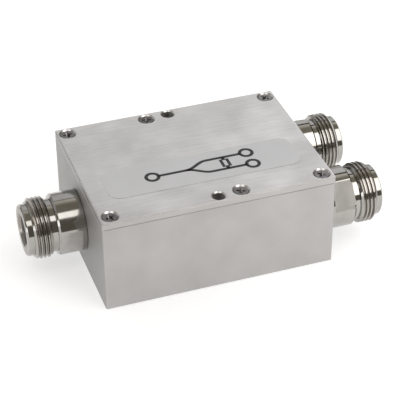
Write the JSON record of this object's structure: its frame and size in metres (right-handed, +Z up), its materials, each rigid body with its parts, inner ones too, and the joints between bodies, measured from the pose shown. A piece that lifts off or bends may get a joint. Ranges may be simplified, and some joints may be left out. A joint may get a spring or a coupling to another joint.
{
  "type": "rf power splitter",
  "caption": "Milled aluminium box with a flush screwed lid that splits a radio-frequency signal from an input coaxial jack to output jacks on its other end.",
  "frame": {"origin": "centre of the overall box at the underside of the housing", "axes": "+X along the length, from the input jack's end to the output jacks' end; +Y across the housing to its back, away from the side that the label is nearer to; +Z up, from the underside to the lid"},
  "size_m": [0.0914, 0.045, 0.0263],
  "materials": {
    "milled_aluminium": "satin",
    "brushed_aluminium": "brushed",
    "screw_steel": "polished",
    "label_film": "satin",
    "board_laminate": "satin",
    "track_copper": "satin",
    "resistor_body": "matte",
    "plated_shell": "polished",
    "white_insulator": "satin",
    "gold_contact": "polished"
  },
  "bodies": {
    "root": {"housing": "milled_aluminium", "lid": "brushed_aluminium", "lid_screws": "screw_steel", "label": "label_film", "circuit_board": "board_laminate", "divider_track": "track_copper", "board_screws": "screw_steel", "isolation_resistor_1": "resistor_body", "isolation_resistor_2": "resistor_body", "isolation_resistor_3": "resistor_body", "isolation_resistor_4": "resistor_body", "input_shell": "plated_shell", "input_insulator": "white_insulator", "input_contact": "gold_contact", "output_1_shell": "plated_shell", "output_1_insulator": "white_insulator", "output_1_contact": "gold_contact", "output_2_shell": "plated_shell", "output_2_insulator": "white_insulator", "output_2_contact": "gold_contact"}
  },
  "joints": []
}
